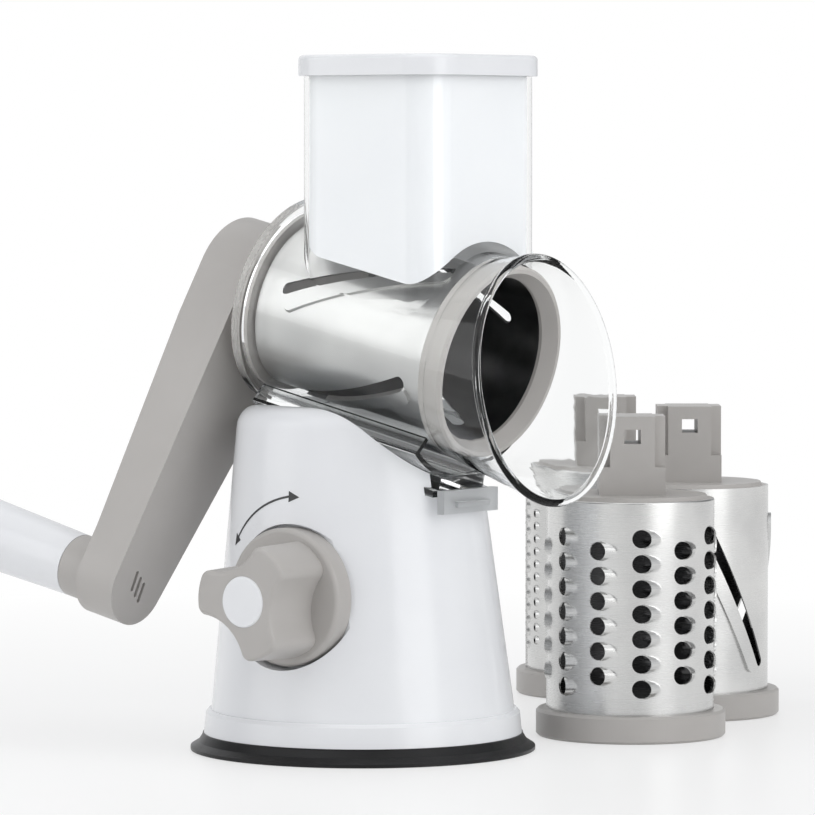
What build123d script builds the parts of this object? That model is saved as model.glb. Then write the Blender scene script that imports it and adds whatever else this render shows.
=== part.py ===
"""Hand-cranked drum shredder on a suction base, with three spare drums beside it.

Millimetres, +Z up, origin at the centre of the foot's flat underside. The mouth looks along +X,
the lock knob is on -Y and the crank is at the back, on -X. Whatever turns about the tilted drum
axis is drawn upright in its own frame, with z as the distance along that axis towards the
mouth, x pointing down and y along +Y, and is put in place by DRUM_FRAME.
"""

import os
from math import atan2, cos, degrees, hypot, radians, sin, sqrt, tan

from build123d import *

# ---- fits ----
RUN_FIT = 0.06  # radial gap of a shaft in its bearing
LOOSE_FIT = 0.3  # gap beside a piece that slides or lifts out
SEAT_GAP = 0.3  # gap under a moving piece at rest

# ---- suction foot ----
FOOT_FLARE = 8.7  # how far its edge stands out from the base
FOOT_H = 7.0
FOOT_EDGE = 1.4
FOOT_RING = 20.0  # width of the flat ring that meets the table
DIAPHRAGM = 2.2
DIAPHRAGM_RISE = 1.2
SUCTION_LIFT = 3.0
PLATE_T = 3.6
PLATE_INSET = 0.8  # base plate's edge inside the base's outline
GUIDE_H = 14.0  # sleeve that guides the lift stem
GUIDE_WALL = 4.0
GUIDE_SINK = 1.6  # recess for the lift stem's flange

# ---- base ----
SKIRT_H = 10.0
SKIRT_STEP_LOW = 3.2  # skirt's edge outside the base's outline
SKIRT_STEP_TOP = 1.7
BODY_R_LOW = 63.3
BODY_R_TOP = 48.7  # where the straight flank would reach the flat top
BODY_H = 127.0
LEAN_BACK = 3.8  # how far the base's top is set back from its foot
SHOULDER_R = 10.0
WALL = 3.0
BOSS_R = 5.0
BOSS_TOP = 34.0  # height of the screw bosses inside the base
BOSS_INSET = 0.8
SCREW_BITE = 8.0
SCREW_R = 1.7
SCREW_HEAD_R = 3.4
SCREW_HEAD_H = 2.0
SCREW_COUNT = 4

# ---- drum axis ----
TILT = 13.0
AXIS_Z = 179.0
CRADLE_R = 52.0

# ---- drums ----
SHELL_R = 35.5
SHELL_T = 0.9
SHELL_LEN = 90.0  # between the end plate's edge and the collar
SHELL_REAR = -28.0  # where the shell starts along the axis
COLLAR_R = 40.5
COLLAR_W = 11.5
COLLAR_BORE = 37.8
COLLAR_SOCKET = 4.0  # how deep the shell sits in the collar
PLATE_CROWN = 1.6
DISC_T = 3.0
DISC_R = 33.0
STEM_W = 28.0
STEM_LEN = 33.5
STEM_NOTCH = 4.5
NOTCHED_LEN = 21.5
WINDOW_W = 7.0
WINDOW_H = 6.0
WINDOW_FROM_END = 8.6
SLOT_W = 5.2
SLOT_LEN = 68.0
SLOT_COUNT = 4
SLOT_LEAN = 26.0  # degrees between a slot and the drum's axis
SLOT_PHASE = -16.0  # where the machine drum's slots lie, from the crank's arm
SPARE_SLOT_PHASE = -32.0
LIP_W = 6.0  # raised edge that lifts the cut slice
LIP_RISE = 1.3
COARSE_HOLE_R = 3.85
COARSE_PITCH = 10.57
COARSE_COLUMNS = 12
COARSE_ROWS = 7
COARSE_LOW = 11.3  # centre of the first hole above the collar's rim
COARSE_PHASE = -4.6
HOOD_R = 4.2  # outside of the hood beside each grating hole
HOOD_WALL = 0.8
HOOD_START = 1.0  # from the hole's centre to the hood's open end
HOOD_SINK = 1.3  # hood's axis below the shell's surface at its open end
HOOD_SLOPE = 24.0  # how steeply the hood runs back into the shell, in degrees
HOOD_LEN = 12.0
FINE_HOLE_R = 2.0
FINE_PITCH = 5.8
FINE_COLUMNS = 20
FINE_ROWS = 12
FINE_LOW = 11.0
FINE_PHASE = 10.5
SEAM_WIDE = 10.0  # lap seam of a grating shell, in degrees
SEAM_AT = 92.0
SEAM_RISE = 0.9

# ---- clear housing ----
BARREL_T = 2.1
BARREL_FRONT = 66.0
REAR_GAP = 2.0  # between the end plate and the rear wall
REAR_WALL = 2.5
RIM_LIP = 1.3
RIM_LEN = 4.5
FLANGE_R = 38.5  # round flange of the crank that turns in the rear wall and closes it
SHIELD_HALF_H = 50.9
SHIELD_HALF_W = 47.6
SHIELD_X = 93.8
SHIELD_Z = 156.3
SHIELD_LEAN = 7.0  # the shield's rim looks up by this many degrees
SHIELD_T = 2.0
SHIELD_BEAD = 1.7
TUBE_X = 29.0
TUBE_LX = 73.0
TUBE_LY = 79.2
TUBE_CORNER = 15.0
TUBE_T = 1.8
TUBE_TOP = 279.5
SADDLE_T = 2.2
SADDLE_HALF = 40.0  # half the angle that the saddle spans under the barrel
SADDLE_REAR = -24.0
SADDLE_FRONT = 63.0
KEEL_W = 30.0
LUG_W = 37.0
LUG_T = 2.8
KEEL_REAR = -6.0
TAB_H = 9.6
TAB_T = 3.5
TAB_Z = 105.8
TAB_PRESS = 1.2
TAB_GAP = 0.4
TONGUE_W = 22.0
TONGUE_BACK = 17.0  # from the saddle's front edge to the tongue's root
TONGUE_REACH = 10.0
TONGUE_ROOM = 7.0
TONGUE_T = 2.2
KEEL_AHEAD = 2.0

# ---- pusher ----
CAP_H = 8.5
CAP_LIP = 2.3
PUSHER_WALL = 2.2
PUSHER_FOOT_R = 46.5

# ---- lock ----
KNOB_Z = 67.2
KNOB_X = 3.9
DISC_KNOB_R = 28.4
DISC_KNOB_T = 9.0
POCKET_DEEP = 8.5  # the pocket's floor below the base's side
POCKET_GAP = 1.4
STAR_H = 26.0
STAR_R = 25.0
STAR_HOLLOW_R = 22.0
STAR_WAIST = 15.0
KNOB_CAP_R = 10.5
KNOB_CAP_T = 3.0
KNOB_CAP_PROUD = 0.6
KNOB_SCREW_R = 2.0
KNOB_SCREW_HEAD_R = 4.5
KNOB_SCREW_HEAD_T = 2.6
KNOB_SCREW_SINK = 7.0  # its seat below the grip's face
KNOB_SCREW_BITE = 9.0
SHAFT_R = 5.0
KNOB_GRIP = 16.0  # length of shaft inside the knob
CAM_R = 8.0
CAM_W = 8.0
BRACKET_Y = 9.0
BRACKET_T = 4.0
BRACKET_W = 24.0
BRACKET_FOOT = 16.0
LIFT_STEM_R = 4.0
LIFT_FLANGE_R = 9.0
LIFT_FLANGE_T = 1.4
YOKE_WALL = 4.0
CLIP_R = 8.0
CLIP_T = 1.0

# ---- crank ----
SWING = 26.0  # rest position of the arm, from straight down towards the knob side
CRANK_R = 138.5
ARM_GAP = 10.5  # from the rear wall of the housing to the arm
ARM_T_HUB = 25.0
ARM_T_END = 20.0
ARM_END_R = 16.5
HUB_R = 27.0
ARM_WALL = 2.6
ARM_EDGE_R = 3.0
COVER_T = 2.4
VENT_LEN = 9.0
VENT_W = 1.7
VENT_PITCH = 3.6
VENT_STEP = 1.2
VENT_LEAN = 12.0
SLEEVE_R = 23.0  # sleeve between the flange and the arm
SOCKET_WALL = 2.5
SOCKET_END_T = 1.2
SLEEVE_ROOT = 8.0  # how deep the sleeve starts inside the arm
RIB_T = 2.0
STUB_R = 13.3
STUB_LEN = 13.0
GRIP_LEN = 86.0
GRIP_R_END = 15.6
GRIP_ROUND = 5.0
SPINDLE_R = 4.0
SPINDLE_LEN = 72.0
SPINDLE_HEAD_R = 6.0
SPINDLE_HEAD_T = 4.0
SPINDLE_SEAT = 6.0  # spindle's end below the arm's face
GRIP_PLUG_R = 7.5
GRIP_PLUG_T = 4.0
BUTTON_R = 13.8
BUTTON_OFFSET = 8.0
BUTTON_PROUD = 9.5
BUTTON_TRAVEL = 4.0
BUTTON_SEAT = 0.4  # how deep the button sits in the arm's back at rest
BUTTON_POCKET = 5.0  # pocket for its spring
BUTTON_ROUND = 3.5
PAWL_W = 6.2
PAWL_T = 5.2
PAWL_BITE = 3.0  # how far its tip reaches into the stem's window
PAWL_LIFT = 3.4
RAMP_GAP = 0.5
SPRING_R = 5.5
SPRING_WIRE = 0.9

# ---- spare drums: where each one stands on the table ----
COARSE_AT = (60.9, 108.2)
FINE_AT = (-45.8, 240.6)
SLICER_AT = (32.6, 193.2)
SPARE_TURN = -52.7  # how the stems of all three are turned

# ---- worked out from the above ----
FOOT_R = BODY_R_LOW + FOOT_FLARE
SKIRT_R_LOW = BODY_R_LOW + SKIRT_STEP_LOW
SKIRT_R_TOP = BODY_R_LOW + SKIRT_STEP_TOP
FOOT_RIM_R = SKIRT_R_LOW + 0.4
PLATE_R = BODY_R_LOW - PLATE_INSET
PLATE_Z = FOOT_H
PLATE_TOP = PLATE_Z + PLATE_T
BODY_Z = FOOT_H + SKIRT_H
BODY_TOP = BODY_Z + BODY_H
FLANK = (BODY_R_LOW - BODY_R_TOP) / BODY_H
POCKET_Y = BODY_R_LOW - FLANK * (KNOB_Z - BODY_Z) - POCKET_DEEP
POCKET_OUT = BODY_R_LOW + STAR_R
KNOB_BACK = POCKET_Y + SEAT_GAP
KNOB_TIP = KNOB_BACK + DISC_KNOB_T + STAR_H
KNOB_SCREW_SEAT = KNOB_TIP - KNOB_SCREW_SINK
LONG = BODY_H + TUBE_TOP  # longer than any cut needs to be
COLLAR_REAR = SHELL_REAR + SHELL_LEN
COLLAR_FRONT = COLLAR_REAR + COLLAR_W
DISC_REAR = SHELL_REAR - PLATE_CROWN
STEM_REAR = DISC_REAR - STEM_LEN
WINDOW_S = STEM_REAR + WINDOW_FROM_END
WALL_IN = DISC_REAR - REAR_GAP
WALL_OUT = WALL_IN - REAR_WALL
ARM_S = WALL_OUT - ARM_GAP  # the face of the arm that looks at the housing
HUB_OUT = ARM_S - ARM_T_HUB
ARM_S_END = ARM_S - ARM_T_END
SOCKET_END = STEM_REAR - SEAT_GAP
SOCKET_HALF = STEM_W / 2 + LOOSE_FIT + SOCKET_WALL
BUTTON_UNDER = HUB_OUT + BUTTON_SEAT
RAMP_NEAR = SOCKET_HALF + LOOSE_FIT
RAMP_FAR = RAMP_NEAR + PAWL_LIFT
PAWL_LOW = WINDOW_S - PAWL_T / 2
WEDGE_TIP = PAWL_LOW - BUTTON_TRAVEL - SEAT_GAP
BARREL_IN = COLLAR_R + LOOSE_FIT
BARREL_R = BARREL_IN + BARREL_T
RIM_R = BARREL_R + RIM_LIP
SADDLE_OUT = CRADLE_R - SEAT_GAP
LUG_X = CRADLE_R + WALL + SEAT_GAP  # top of the lug under the cradle's skin
LIFT_E = SUCTION_LIFT / 2  # sideways and downward set of the cam from the shaft

DRUM_FRAME = Location((0, 0, AXIS_Z), (0, 90 + TILT, 0))
CRANK_FRAME = DRUM_FRAME * Location((0, 0, 0), (0, 0, -SWING))
UP = (Align.CENTER, Align.CENTER, Align.MIN)


# ---- shapes used by many pieces ----
def rod(radius, low, high):
    """A cylinder on the Z axis from low to high."""
    return Pos(0, 0, low) * Cylinder(radius, high - low, align=UP)


def ring(outer, inner, low, high):
    """A tube on the Z axis from low to high."""
    return rod(outer, low, high) - rod(inner, low, high)


def block(low, high):
    """A box between two corners."""
    size = [b - a for a, b in zip(low, high)]
    return Pos(*low) * Box(*size, align=(Align.MIN, Align.MIN, Align.MIN))


def turned(points):
    """A solid of revolution about Z from (radius, height) points."""
    outline = Polyline(*[(r, 0, z) for r, z in points], close=True)
    return revolve(make_face(outline), Axis.Z)


def post(lx, ly, corner, low, high):
    """A prism with a rounded oblong section, on the Z axis, from low to high."""
    return Pos(0, 0, low) * extrude(RectangleRounded(lx, ly, corner), high - low)


def along_y(shape, x=0.0, z=0.0):
    """Turn a piece drawn on +Z so that it points along -Y from the base's middle."""
    return Location((x, 0, z), (90, 0, 0)) * shape


def drum_placed(shape):
    return DRUM_FRAME * shape


def crank_placed(shape):
    return CRANK_FRAME * shape


# ---- foot and base ----
def suction_foot():
    ring_in = FOOT_R - FOOT_RING
    shelf = DIAPHRAGM_RISE + DIAPHRAGM
    return turned([
        (0, DIAPHRAGM_RISE), (ring_in, DIAPHRAGM_RISE), (ring_in, 0), (FOOT_R, 0), (FOOT_R, FOOT_EDGE),
        ((FOOT_R + FOOT_RIM_R) / 2 - 0.8, FOOT_H / 2), (FOOT_RIM_R, FOOT_H - 0.6),
        (FOOT_RIM_R, FOOT_H), (PLATE_R - 3, FOOT_H), (PLATE_R - 3, shelf), (0, shelf)])


def screw_places():
    """Where the base plate's screws stand, between the knob, the cradle's slot and the bracket."""
    radius = BODY_R_LOW - WALL - BOSS_R - BOSS_INSET
    return [Pos(radius * cos(radians(45 + a * 360 / SCREW_COUNT)),
                radius * sin(radians(45 + a * 360 / SCREW_COUNT)), 0) for a in range(SCREW_COUNT)]


def base_plate():
    """Floor of the base, with the sleeve that guides the lift stem."""
    plate = rod(PLATE_R, PLATE_Z, PLATE_TOP) + rod(LIFT_STEM_R + GUIDE_WALL, PLATE_TOP, PLATE_TOP + GUIDE_H)
    plate -= rod(LIFT_STEM_R + RUN_FIT, PLATE_Z, PLATE_TOP + GUIDE_H)
    plate -= rod(LIFT_FLANGE_R + LOOSE_FIT, PLATE_Z, PLATE_Z + GUIDE_SINK)
    for place in screw_places():
        plate -= place * rod(SCREW_R, PLATE_Z, PLATE_TOP)
        plate -= place * rod(SCREW_HEAD_R, PLATE_Z, PLATE_Z + SCREW_HEAD_H)
    return plate


def base_screws():
    """Four screws through the plate into the bosses of the base."""
    one = rod(SCREW_HEAD_R, PLATE_Z, PLATE_Z + SCREW_HEAD_H)
    one += rod(SCREW_R, PLATE_Z + SCREW_HEAD_H, PLATE_TOP + SCREW_BITE)
    return [place * one for place in screw_places()]


def base_skirt():
    """White ring round the plate, which the base stands on."""
    inner = PLATE_R + 0.2
    return turned([
        (inner, FOOT_H), (SKIRT_R_LOW, FOOT_H), (SKIRT_R_TOP + 0.6, BODY_Z - 1.6), (SKIRT_R_TOP - 0.7, BODY_Z),
        (BODY_R_LOW - WALL, BODY_Z), (BODY_R_LOW - WALL, PLATE_TOP), (inner, PLATE_TOP)])


def base_cone(inset, low, high):
    """The base's tapered form, set in by inset, between two heights."""
    rings = []
    for z in (low, high):
        up = z - BODY_Z
        rings.append(Pos(-LEAN_BACK * up / BODY_H, 0, z) * Circle(BODY_R_LOW - inset - FLANK * up))
    return loft(rings, ruled=True)


def rounded_cone(inset):
    """The base's form with its round shoulder, set in by inset."""
    cone = base_cone(inset, BODY_Z, BODY_TOP - inset)
    return fillet(cone.edges().sort_by(Axis.Z)[-1], SHOULDER_R - inset)


def keel_slot():
    """Room for the housing's keel and lug in the cradle and the front of the base."""
    side = LOOSE_FIT
    rear = KEEL_REAR - LOOSE_FIT
    ahead = SADDLE_FRONT + BODY_R_LOW
    web = block((CRADLE_R / 2, -KEEL_W / 2 - side, rear), (LUG_X + SEAT_GAP, KEEL_W / 2 + side, ahead))
    lug = block((LUG_X - SEAT_GAP, -LUG_W / 2 - side, rear), (LUG_X + LUG_T + SEAT_GAP, LUG_W / 2 + side, ahead))
    tongue_low = LUG_X + LUG_T
    tongue = block((tongue_low, -TONGUE_W / 2 - side, SADDLE_FRONT - TONGUE_BACK - TONGUE_ROOM),
                   (tongue_low + TONGUE_T + 2 * SEAT_GAP, TONGUE_W / 2 + side, ahead))
    return drum_placed(web + lug + tongue)


def knob_pocket():
    """Round pocket for the knob's disc."""
    return along_y(rod(DISC_KNOB_R + POCKET_GAP, POCKET_Y, POCKET_OUT), KNOB_X, KNOB_Z)


def base_body():
    outer = rounded_cone(0)
    form = outer - drum_placed(rod(CRADLE_R, -LONG, LONG))
    hollow = rounded_cone(WALL) - drum_placed(rod(CRADLE_R + WALL, -LONG, LONG))
    hollow -= along_y(rod(DISC_KNOB_R + POCKET_GAP + WALL, POCKET_Y - WALL, POCKET_OUT), KNOB_X, KNOB_Z)
    body = form - hollow - keel_slot() - knob_pocket()
    body -= along_y(rod(SHAFT_R + RUN_FIT, POCKET_Y - 2 * WALL, POCKET_Y + 1), KNOB_X, KNOB_Z)
    within = base_cone(WALL / 2, BODY_Z - SKIRT_H, BODY_TOP)
    for place in screw_places():
        boss = place * (rod(BOSS_R, PLATE_TOP, BOSS_TOP) - rod(SCREW_R, PLATE_TOP, BOSS_TOP - WALL))
        body += boss & within
    return body


# ---- suction lock ----
def star_outline():
    """Three lobes with hollow flanks between them, one lobe towards -X."""
    outline = Circle(STAR_R)
    for turn in (0, 120, 240):
        outline -= Rot(0, 0, turn) * Pos(STAR_WAIST + STAR_HOLLOW_R, 0) * Circle(STAR_HOLLOW_R)
    return fillet(outline.vertices(), 5.0)


def lock_knob():
    """Disc with a three-lobed grip, drawn on +Z with its back at the pocket's floor."""
    back = KNOB_BACK
    face = back + DISC_KNOB_T
    disc = rod(DISC_KNOB_R, back, face)
    disc = fillet(disc.edges().sort_by(Axis.Z)[-1], 2.0)
    star = Pos(0, 0, face - 0.5) * extrude(star_outline(), STAR_H + 0.5, taper=2)
    star = fillet(star.faces().sort_by(Axis.Z)[-1].edges(), 1.8)
    knob = disc + star
    knob -= rod(SHAFT_R, back, back + KNOB_GRIP)
    knob -= rod(KNOB_SCREW_R, back, KNOB_TIP)
    knob -= rod(KNOB_SCREW_HEAD_R + LOOSE_FIT, KNOB_SCREW_SEAT, KNOB_TIP)
    knob -= rod(KNOB_CAP_R, KNOB_TIP + KNOB_CAP_PROUD - KNOB_CAP_T, KNOB_TIP)
    return along_y(knob, KNOB_X, KNOB_Z)


def knob_cap():
    top = KNOB_TIP + KNOB_CAP_PROUD
    cap = rod(KNOB_CAP_R, top - KNOB_CAP_T, top)
    cap = fillet(cap.edges().sort_by(Axis.Z)[-1], 1.0)
    return along_y(cap, KNOB_X, KNOB_Z)


def knob_screw():
    seat = KNOB_SCREW_SEAT
    screw = rod(KNOB_SCREW_HEAD_R, seat, seat + KNOB_SCREW_HEAD_T)
    screw += rod(KNOB_SCREW_R, KNOB_BACK + KNOB_GRIP - KNOB_SCREW_BITE, seat)
    return along_y(screw, KNOB_X, KNOB_Z)


def cam_shaft():
    """Shaft from the knob to the bracket, with the round cam set off its axis."""
    outer_end = KNOB_BACK + KNOB_GRIP
    inner_end = -(BRACKET_Y + BRACKET_T + SEAT_GAP + CLIP_T + SEAT_GAP)
    shaft = rod(SHAFT_R, inner_end, outer_end) - rod(KNOB_SCREW_R, outer_end - KNOB_SCREW_BITE, outer_end)
    shaft += Pos(-LIFT_E, -LIFT_E, 0) * rod(CAM_R, -CAM_W / 2, CAM_W / 2)
    return along_y(shaft, KNOB_X, KNOB_Z)


def shaft_clip():
    start = -(BRACKET_Y + BRACKET_T + SEAT_GAP + CLIP_T)
    return along_y(ring(CLIP_R, SHAFT_R, start, start + CLIP_T), KNOB_X, KNOB_Z)


def cam_bracket():
    """Upright on the base plate that carries the shaft's inner end."""
    top = KNOB_Z + BRACKET_W / 2
    wall = block((KNOB_X - BRACKET_W / 2, BRACKET_Y, PLATE_TOP), (KNOB_X + BRACKET_W / 2, BRACKET_Y + BRACKET_T, top))
    foot = block((KNOB_X - BRACKET_W / 2, BRACKET_Y, PLATE_TOP),
                 (KNOB_X + BRACKET_W / 2, BRACKET_Y + BRACKET_FOOT, PLATE_TOP + BRACKET_T))
    bracket = wall + foot
    return bracket - along_y(rod(SHAFT_R + RUN_FIT, -BRACKET_Y - BRACKET_FOOT, 0), KNOB_X, KNOB_Z)


def lift_stem():
    """Rod that pulls the diaphragm up, with a yoke round the cam."""
    half_z = CAM_R + SEAT_GAP
    half_x = CAM_R + 2 * LIFT_E - SEAT_GAP
    mid = KNOB_Z - LIFT_E
    yoke = Pos(KNOB_X, 0, mid) * Box(2 * (half_x + YOKE_WALL), CAM_W - 0.6, 2 * (half_z + YOKE_WALL))
    yoke -= Pos(KNOB_X, 0, mid) * Box(2 * half_x, CAM_W, 2 * half_z)
    bottom = DIAPHRAGM_RISE + DIAPHRAGM
    stem = rod(LIFT_STEM_R, bottom, mid - half_z - YOKE_WALL / 2)
    return yoke + stem + rod(LIFT_FLANGE_R, bottom, bottom + LIFT_FLANGE_T)


# ---- clear housing ----
def shield_oval(inset):
    """Outline of the shield's rim, a little taller than wide."""
    lean = radians(SHIELD_LEAN)
    plane = Plane(origin=(SHIELD_X, 0, SHIELD_Z), x_dir=(-sin(lean), 0, cos(lean)),
                  z_dir=(cos(lean), 0, sin(lean)))
    return plane * Ellipse(SHIELD_HALF_H - inset, SHIELD_HALF_W - inset)


def barrel_circle(radius):
    plane = Plane(origin=drum_placed(Pos(0, 0, BARREL_FRONT)).position,
                  x_dir=(sin(radians(TILT)), 0, cos(radians(TILT))),
                  z_dir=(cos(radians(TILT)), 0, -sin(radians(TILT))))
    return plane * Circle(radius)


def shield(inset):
    """The flared front of the housing, from the barrel's edge to the leaning rim."""
    return loft([barrel_circle(BARREL_R - inset), shield_oval(inset)], ruled=True)


def feed_tube(inset, low, high):
    tube = post(TUBE_LX - 2 * inset, TUBE_LY - 2 * inset, TUBE_CORNER - inset, low, high)
    return Pos(TUBE_X, 0, 0) * tube


def saddle():
    """Curved foot of the housing that lies in the base's cradle, with its two webs."""
    arc = ring(SADDLE_OUT, SADDLE_OUT - SADDLE_T, SADDLE_REAR, SADDLE_FRONT)
    reach = SADDLE_OUT * 2
    drop = reach * cos(radians(SADDLE_HALF))
    side = reach * sin(radians(SADDLE_HALF))
    wedge = extrude(make_face(Polyline((0, 0, 0), (drop, side, 0), (reach, 0, 0), (drop, -side, 0), close=True)),
                    2 * LONG, dir=(0, 0, 1))
    form = arc & (Pos(0, 0, -LONG) * wedge)
    for turn in (-SADDLE_HALF, SADDLE_HALF):
        web = block((BARREL_IN + 1, -SADDLE_T / 2, SADDLE_REAR), (SADDLE_OUT - SADDLE_T / 2, SADDLE_T / 2, SADDLE_FRONT))
        form += Rot(0, 0, turn * 0.97) * web
    return form


def keel():
    """T-shaped runner under the saddle, which hooks below the cradle's skin."""
    front = SADDLE_FRONT + KEEL_AHEAD
    web = block((SADDLE_OUT - SADDLE_T, -KEEL_W / 2, KEEL_REAR), (LUG_X + 0.5, KEEL_W / 2, front))
    lug = block((LUG_X, -LUG_W / 2, KEEL_REAR), (LUG_X + LUG_T, LUG_W / 2, front))
    return web + lug


def feed_housing():
    skin = drum_placed(rod(BARREL_R, WALL_OUT, BARREL_FRONT) + rod(RIM_R, WALL_OUT, WALL_OUT + RIM_LEN))
    skin += shield(0)
    skin += feed_tube(0, AXIS_Z + 10, TUBE_TOP)
    hollow = drum_placed(rod(BARREL_IN, WALL_IN, BARREL_FRONT) + rod(FLANGE_R + RUN_FIT, WALL_OUT, WALL_IN))
    hollow += shield(SHIELD_T)
    hollow += feed_tube(TUBE_T, AXIS_Z, TUBE_TOP)
    body = skin - hollow
    body += drum_placed(saddle() + keel())
    body += rim_bead()
    return body


def rim_bead():
    """Round bead on the rim of the shield."""
    path = shield_oval(SHIELD_T / 2).edges()[0]
    return sweep(Plane(path @ 0, z_dir=path % 0) * Circle(SHIELD_BEAD), path)


def housing_latch():
    """Press tab in front of the base, on a tongue under the keel."""
    low = LUG_X + LUG_T + SEAT_GAP
    front = SADDLE_FRONT + TONGUE_REACH
    rear = SADDLE_FRONT - TONGUE_BACK
    tongue = drum_placed(block((low, -TONGUE_W / 2, rear), (low + TONGUE_T, TONGUE_W / 2, front)))
    tab_low = TAB_Z - TAB_H / 2
    face = BODY_R_LOW - (FLANK + LEAN_BACK / BODY_H) * (tab_low - BODY_Z) + TAB_PRESS + TAB_GAP
    tab = block((face, -LUG_W / 2, TAB_Z - TAB_H / 2), (face + TAB_T, LUG_W / 2, TAB_Z + TAB_H / 2))
    return tongue + tab


def pusher():
    """Hollow plunger with a wide cap; its foot follows the drum."""
    gap = TUBE_T + LOOSE_FIT
    cap_top = TUBE_TOP + CAP_H + SEAT_GAP
    plunger = feed_tube(gap, AXIS_Z, TUBE_TOP + CAP_H / 2)
    plunger -= drum_placed(rod(PUSHER_FOOT_R, -LONG, LONG))
    cap = feed_tube(-CAP_LIP, TUBE_TOP + SEAT_GAP, cap_top)
    cap = fillet(cap.faces().sort_by(Axis.Z)[-1].edges(), 2.0)
    hollow = feed_tube(gap + PUSHER_WALL, AXIS_Z, cap_top)
    hollow -= drum_placed(rod(PUSHER_FOOT_R + PUSHER_WALL, -LONG, LONG))
    return plunger + cap - hollow


# ---- drums, drawn upright on the drum axis ----
def drum_collar():
    """Grey front ring that holds the shell and turns in the housing's mouth."""
    bore = SHELL_R - SHELL_T
    low = COLLAR_REAR
    high = COLLAR_FRONT
    return turned([
        (SHELL_R, low), (COLLAR_R - 1, low), (COLLAR_R, low + 1), (COLLAR_R, high - 1), (COLLAR_R - 1, high),
        (COLLAR_BORE, high), (bore, low + COLLAR_SOCKET + 1.5), (bore, low + COLLAR_SOCKET),
        (SHELL_R, low + COLLAR_SOCKET)])


def stem_section(grow=0.0):
    """Square with its four corners notched."""
    width = STEM_W + 2 * grow
    section = Rectangle(width, width)
    at = width / 2
    cut = 2 * STEM_NOTCH
    for sx in (-1, 1):
        for sy in (-1, 1):
            section -= Pos(sx * at, sy * at) * Rectangle(cut, cut)
    return section


def end_plate():
    """Rear disc of a drum with its square driving stem and the window for the crank's catch."""
    inner = SHELL_R - SHELL_T
    disc = turned([(0, SHELL_REAR + DISC_T), (inner, SHELL_REAR + DISC_T), (inner, SHELL_REAR),
                   (DISC_R, SHELL_REAR), (DISC_R - 1, DISC_REAR), (0, DISC_REAR)])
    square = Pos(0, 0, STEM_REAR + NOTCHED_LEN) * extrude(Rectangle(STEM_W, STEM_W), STEM_LEN - NOTCHED_LEN)
    cross = Pos(0, 0, STEM_REAR) * extrude(stem_section(), NOTCHED_LEN)
    window = Pos(0, 0, WINDOW_S) * Box(2 * STEM_W, WINDOW_W, WINDOW_H)
    return disc + square + cross - window


def plain_shell():
    return ring(SHELL_R, SHELL_R - SHELL_T, SHELL_REAR, COLLAR_REAR + COLLAR_SOCKET)


def slicer_shell(phase):
    """Shell with oblique slots that slice, each with a raised lip beside it."""
    shell = plain_shell()
    middle = SHELL_REAR + SHELL_LEN / 2
    length = SLOT_LEN / cos(radians(SLOT_LEAN))
    cutter = Pos(0, 0, SHELL_R / 2) * extrude(SlotOverall(length, SLOT_W), SHELL_R)
    strip = Pos(0, (SLOT_W + LIP_W) / 2 - 1, SHELL_R / 2) * extrude(SlotOverall(length, LIP_W + 2), SHELL_R)
    raised = ring(SHELL_R + LIP_RISE, SHELL_R - SHELL_T, SHELL_REAR, COLLAR_REAR)
    slots = []
    for i in range(SLOT_COUNT):
        turn = Location((0, 0, middle), (0, 0, phase + i * 360 / SLOT_COUNT)) * Rot(0, 90, 0) * Rot(0, 0, SLOT_LEAN)
        shell += raised & (turn * strip)
        slots.append(turn * cutter)
    return shell - slots


def hole_places(columns, rows, pitch, low, phase):
    """Places of a grating's holes: odd columns have one hole less and lie half a pitch further."""
    places = []
    for column in range(columns):
        odd = column % 2
        for row in range(rows - odd):
            along = COLLAR_REAR - low - pitch * (row + odd / 2)
            places.append(Location((0, 0, along), (0, 0, phase + column * 360 / columns)) * Rot(0, 90, 0))
    return places


def lap_seam():
    """Where the rolled sheet of a grating shell overlaps itself."""
    band = ring(SHELL_R + SEAM_RISE, SHELL_R - SHELL_T / 2, SHELL_REAR, COLLAR_REAR)
    half = 2 * SHELL_R * tan(radians(SEAM_WIDE / 2))
    wedge = Polyline((0, 0, 0), (2 * SHELL_R, -half, 0), (2 * SHELL_R, half, 0), close=True)
    wedge = Pos(0, 0, SHELL_REAR) * extrude(make_face(wedge), SHELL_LEN, dir=(0, 0, 1))
    return band & (Rot(0, 0, SEAM_AT) * wedge)


def coarse_shell():
    """Shell with staggered rows of grating holes, each with a hood that runs back into the shell."""
    start = Pos(0, -HOOD_START, SHELL_R - HOOD_SINK) * Rot(90 + HOOD_SLOPE, 0, 0)
    core = Rot(0, 90, 0) * Cylinder(SHELL_R - SHELL_T / 2, 6 * HOOD_R)
    hood = start * rod(HOOD_R, 0, HOOD_LEN) - core
    hole = rod(COARSE_HOLE_R, SHELL_R / 2, SHELL_R + HOOD_R) + start * rod(HOOD_R - HOOD_WALL, 0, HOOD_LEN)
    places = hole_places(COARSE_COLUMNS, COARSE_ROWS, COARSE_PITCH, COARSE_LOW, COARSE_PHASE)
    shell = plain_shell() + lap_seam() + [place * hood for place in places]
    return shell - [place * hole for place in places]


def fine_shell():
    """Shell with many small grating holes."""
    shell = plain_shell() + lap_seam()
    hole = Pos(0, 0, SHELL_R / 2) * extrude(RegularPolygon(FINE_HOLE_R, 6), SHELL_R)
    places = hole_places(FINE_COLUMNS, FINE_ROWS, FINE_PITCH, FINE_LOW, FINE_PHASE)
    return shell - [place * hole for place in places]


def stand(shape, place):
    """Turn a drum piece upright on the table, collar down."""
    return Pos(place[0], place[1], COLLAR_FRONT) * Rot(0, 0, SPARE_TURN) * Rot(180, 0, 0) * shape


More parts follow.
